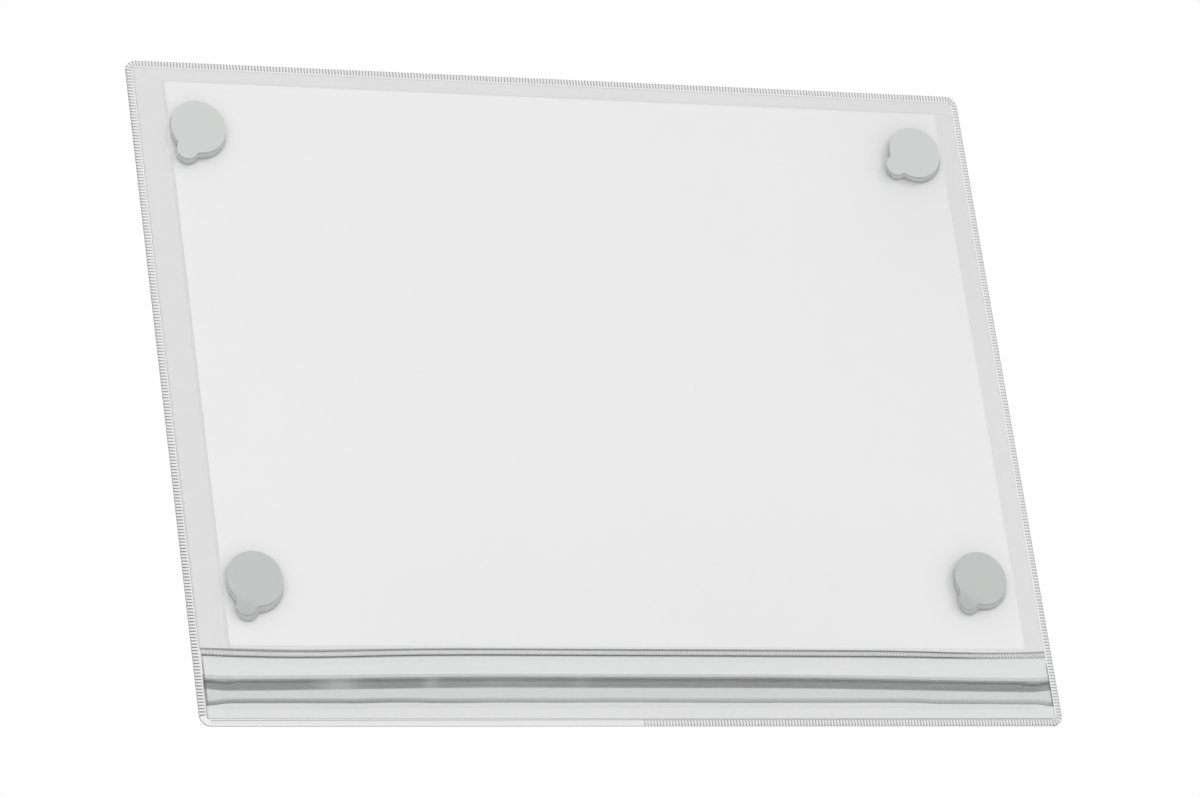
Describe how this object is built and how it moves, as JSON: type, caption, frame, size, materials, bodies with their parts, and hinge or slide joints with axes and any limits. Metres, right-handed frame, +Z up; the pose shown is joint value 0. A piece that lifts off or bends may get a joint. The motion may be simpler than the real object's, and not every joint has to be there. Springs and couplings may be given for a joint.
{
  "type": "self-adhesive poster pocket",
  "caption": "Clear film pocket that holds a landscape sheet, with a press-to-close flap along the bottom of its back and round adhesive foam pads for a wall.",
  "frame": {"origin": "on the wall plane, level with the middle of the pocket's outline", "axes": "+Z up as it hangs, +Y into the wall, so the display front looks along -Y, +X to the left as seen from the back"},
  "size_m": [0.321, 0.0065, 0.247],
  "materials": {
    "film": "clear soft film with a low gloss",
    "closure": "clear extruded strip, a little greyer than the film",
    "sheet": "plain white, matt",
    "foam": "white closed-cell foam",
    "adhesive": "tacky translucent adhesive",
    "liner": "white release paper, satin"
  },
  "bodies": {
    "pocket": {"front_film": "film", "back_film": "film", "closure_rail_strip": "closure", "pocket_adhesive_top_left": "adhesive", "foam_pad_top_left": "foam", "wall_adhesive_top_left": "adhesive", "pocket_adhesive_top_right": "adhesive", "foam_pad_top_right": "foam", "wall_adhesive_top_right": "adhesive", "pocket_adhesive_bottom_left": "adhesive", "foam_pad_bottom_left": "foam", "wall_adhesive_bottom_left": "adhesive", "pocket_adhesive_bottom_right": "adhesive", "foam_pad_bottom_right": "foam", "wall_adhesive_bottom_right": "adhesive"},
    "sheet": {"insert_sheet": "sheet"},
    "flap": {"closure_flap": "closure"},
    "liner_top_left": {"release_liner_top_left": "liner"},
    "liner_top_right": {"release_liner_top_right": "liner"},
    "liner_bottom_left": {"release_liner_bottom_left": "liner"},
    "liner_bottom_right": {"release_liner_bottom_right": "liner"}
  },
  "joints": [
    {"name": "sheet_slide", "type": "slide", "parent": "pocket", "child": "sheet", "axis": [0, 0, -1], "range_m": [0, 0.24]},
    {"name": "flap_hinge", "type": "hinge", "parent": "pocket", "child": "flap", "pos_m": [0, -0.0035, -0.0962], "axis": [1, 0, 0], "range_deg": [0, 120]},
    {"name": "liner_peel_top_left", "type": "hinge", "parent": "pocket", "child": "liner_top_left", "pos_m": [0.1333, -0.00015, 0.10446], "axis": [0.866, 0, 0.5], "range_deg": [0, 150]},
    {"name": "liner_peel_top_right", "type": "hinge", "parent": "pocket", "child": "liner_top_right", "pos_m": [-0.14519, -0.00015, 0.10245], "axis": [0.5446, 0, 0.8387], "range_deg": [0, 150]},
    {"name": "liner_peel_bottom_left", "type": "hinge", "parent": "pocket", "child": "liner_bottom_left", "pos_m": [0.13329, -0.00015, -0.06349], "axis": [0.9205, 0, 0.3907], "range_deg": [0, 150]},
    {"name": "liner_peel_bottom_right", "type": "hinge", "parent": "pocket", "child": "liner_bottom_right", "pos_m": [-0.14038, -0.00015, -0.06191], "axis": [0.809, 0, 0.5878], "range_deg": [0, 150]}
  ],
  "couplings": [
    {"joint": "flap_hinge", "follows": "sheet_slide", "rad_per_m": 8.72}
  ]
}
